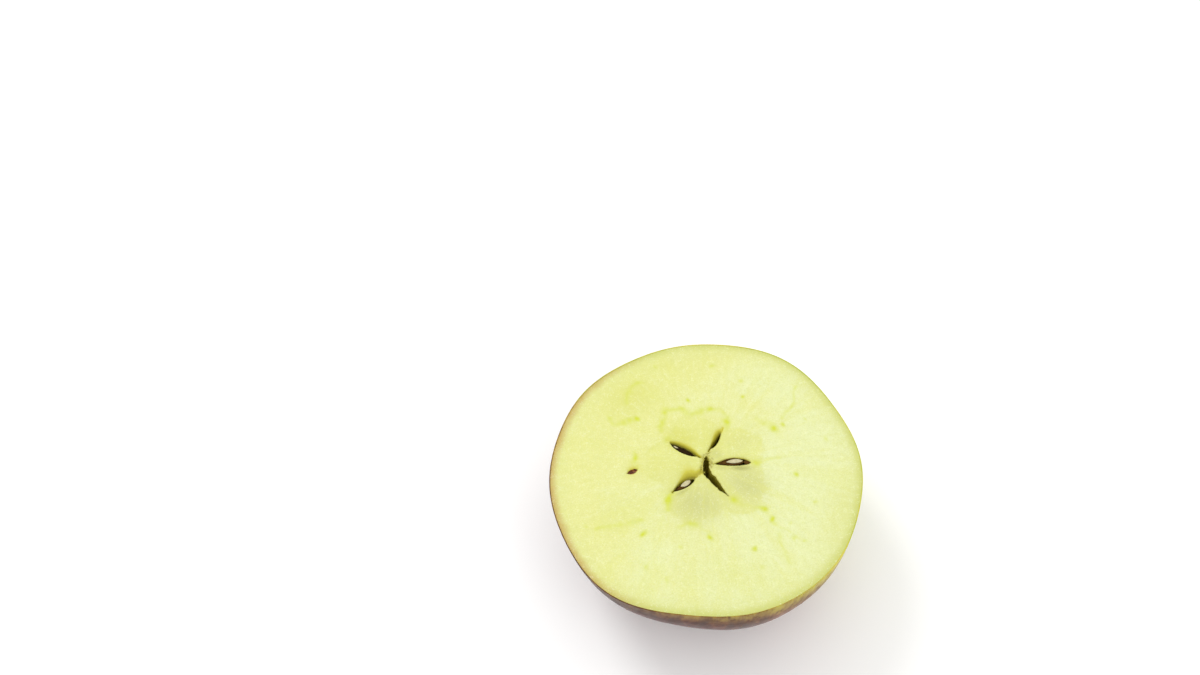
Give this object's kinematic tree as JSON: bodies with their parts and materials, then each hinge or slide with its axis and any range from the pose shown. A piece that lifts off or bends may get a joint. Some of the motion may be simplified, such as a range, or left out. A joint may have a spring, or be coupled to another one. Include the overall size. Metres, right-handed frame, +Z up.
{
  "type": "apple half",
  "caption": "Lower half of an apple cut straight across its middle, with the cut face up, the core's star of seed chambers open and cut seeds in it.",
  "frame": {"origin": "under the middle of the half, on the surface that it stands on", "axes": "+Z up along the core, out of the cut face; +X to the right and +Y to the back when the widest seed points right"},
  "size_m": [0.0788, 0.0764, 0.0319],
  "materials": {
    "flesh": "moist, finely grained, slightly translucent",
    "peel": "waxy, with a streaked red-brown blush on yellow-green",
    "seed_coat": "smooth, satin brown",
    "seed_kernel": "cut, creamy white",
    "calyx": "dry and downy"
  },
  "bodies": {
    "root": {"apple_half": "flesh", "seed_right": "seed_coat", "seed_right_small": "seed_coat", "seed_lower_left": "seed_coat", "seed_upper_left": "seed_coat"}
  },
  "joints": []
}
